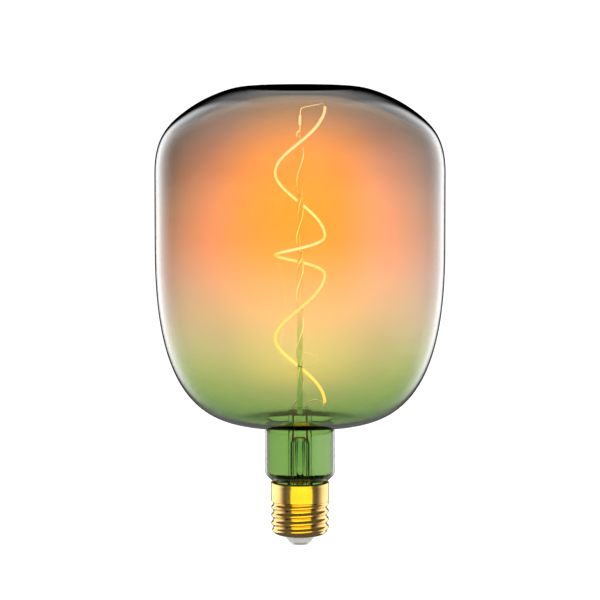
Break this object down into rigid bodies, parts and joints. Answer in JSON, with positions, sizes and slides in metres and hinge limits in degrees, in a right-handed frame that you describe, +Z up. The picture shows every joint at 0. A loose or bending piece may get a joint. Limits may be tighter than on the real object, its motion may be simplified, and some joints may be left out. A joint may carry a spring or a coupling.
{
  "type": "smart light bulb",
  "caption": "Large drum-shaped smart bulb in tinted glass: one flexible LED filament winds round a glass rod above a narrow neck and a brass screw cap with a driver and radio inside.",
  "frame": {"origin": "centre of the centre contact's flat face, on the bulb's axis, the lowest point of the bulb as it stands cap down", "axes": "+Z up the bulb's axis from the cap to the crown of the glass; -Y towards the viewer in the pictured view; +X to the right of that view"},
  "size_m": [0.1312, 0.1312, 0.2077],
  "materials": {
    "envelope_glass": "thin blown glass, smoke at the crown, warm at the sides, green at the base and neck",
    "stem_glass": "clear green-tinted lead-free stem glass, pressed flat at the top",
    "rod_glass": "clear drawn glass rod, polished by the flame",
    "phosphor": "soft yellow phosphor silicone, glowing",
    "filament_film": "amber polyimide film",
    "led_die": "pale chips in cured gel",
    "tab_metal": "tinned strip, satin",
    "bright_wire": "bright nickel wire, drawn",
    "splice_metal": "pale crimped tube, satin",
    "seal_copper": "copper-sheathed seal wire, oxide red in the glass",
    "cap_brass": "bright brass with fine rolling lines, rolled knuckle thread",
    "insulator": "white moulded insulator, satin",
    "contact_metal": "nickel-plated stud, satin, lightly marked",
    "cement": "cured capping cement, granular",
    "sleeve_film": "thin insulating film, milky",
    "red_insulation": "red insulated wire",
    "black_insulation": "black insulated wire",
    "solder": "smooth solder, slightly dull",
    "board_green": "green solder mask over glass-fibre laminate, with traces",
    "board_blue": "blue solder mask over glass-fibre laminate",
    "ic_plastic": "black moulded package, fine grain",
    "resistor_chip": "ceramic chip with black glaze and tinned ends",
    "capacitor_skin": "dark shrink film with a pale stripe and a bare aluminium end",
    "ferrite": "dark grey sintered ferrite",
    "winding_copper": "enamelled copper wire",
    "resistor_coat": "flameproof lacquer with colour bands",
    "lead_tin": "tinned leads",
    "shield_tin": "tin-plated shield, faint rolling lines",
    "antenna_gold": "gold-flashed copper track",
    "pin_gold": "gold-flashed square pins",
    "header_black": "black moulded header"
  },
  "bodies": {
    "root": {"glass_envelope": "envelope_glass", "stem_tube": "stem_glass", "exhaust_tube": "stem_glass", "support_rod": "rod_glass", "filament_coating": "phosphor", "filament_strip": "filament_film", "led_chips": "led_die", "filament_tab_top": "tab_metal", "filament_tab_bottom": "tab_metal", "top_hook_wire": "bright_wire", "splice_sleeve": "splice_metal", "return_lead_wire": "bright_wire", "lower_lead_wire": "bright_wire", "seal_wire_left": "seal_copper", "seal_wire_right": "seal_copper", "lead_out_wire_left": "lead_tin", "lead_out_wire_right": "lead_tin", "screw_shell": "cap_brass", "cap_insulator": "insulator", "centre_contact": "contact_metal", "basing_cement": "cement", "insulating_sleeve": "sleeve_film", "live_wire": "red_insulation", "neutral_wire": "black_insulation", "neutral_solder_joint": "solder", "driver_board": "board_green", "bridge_rectifier": "ic_plastic", "driver_chip": "ic_plastic", "chip_resistors": "resistor_chip", "smoothing_capacitor": "capacitor_skin", "capacitor_leads": "lead_tin", "inductor_core": "ferrite", "inductor_winding": "winding_copper", "fusible_resistor": "resistor_coat", "fusible_resistor_leads": "lead_tin", "board_solder_joints": "solder", "radio_board": "board_blue", "radio_shield_can": "shield_tin", "radio_antenna": "antenna_gold", "radio_pins": "pin_gold", "pin_header": "header_black"}
  },
  "joints": []
}
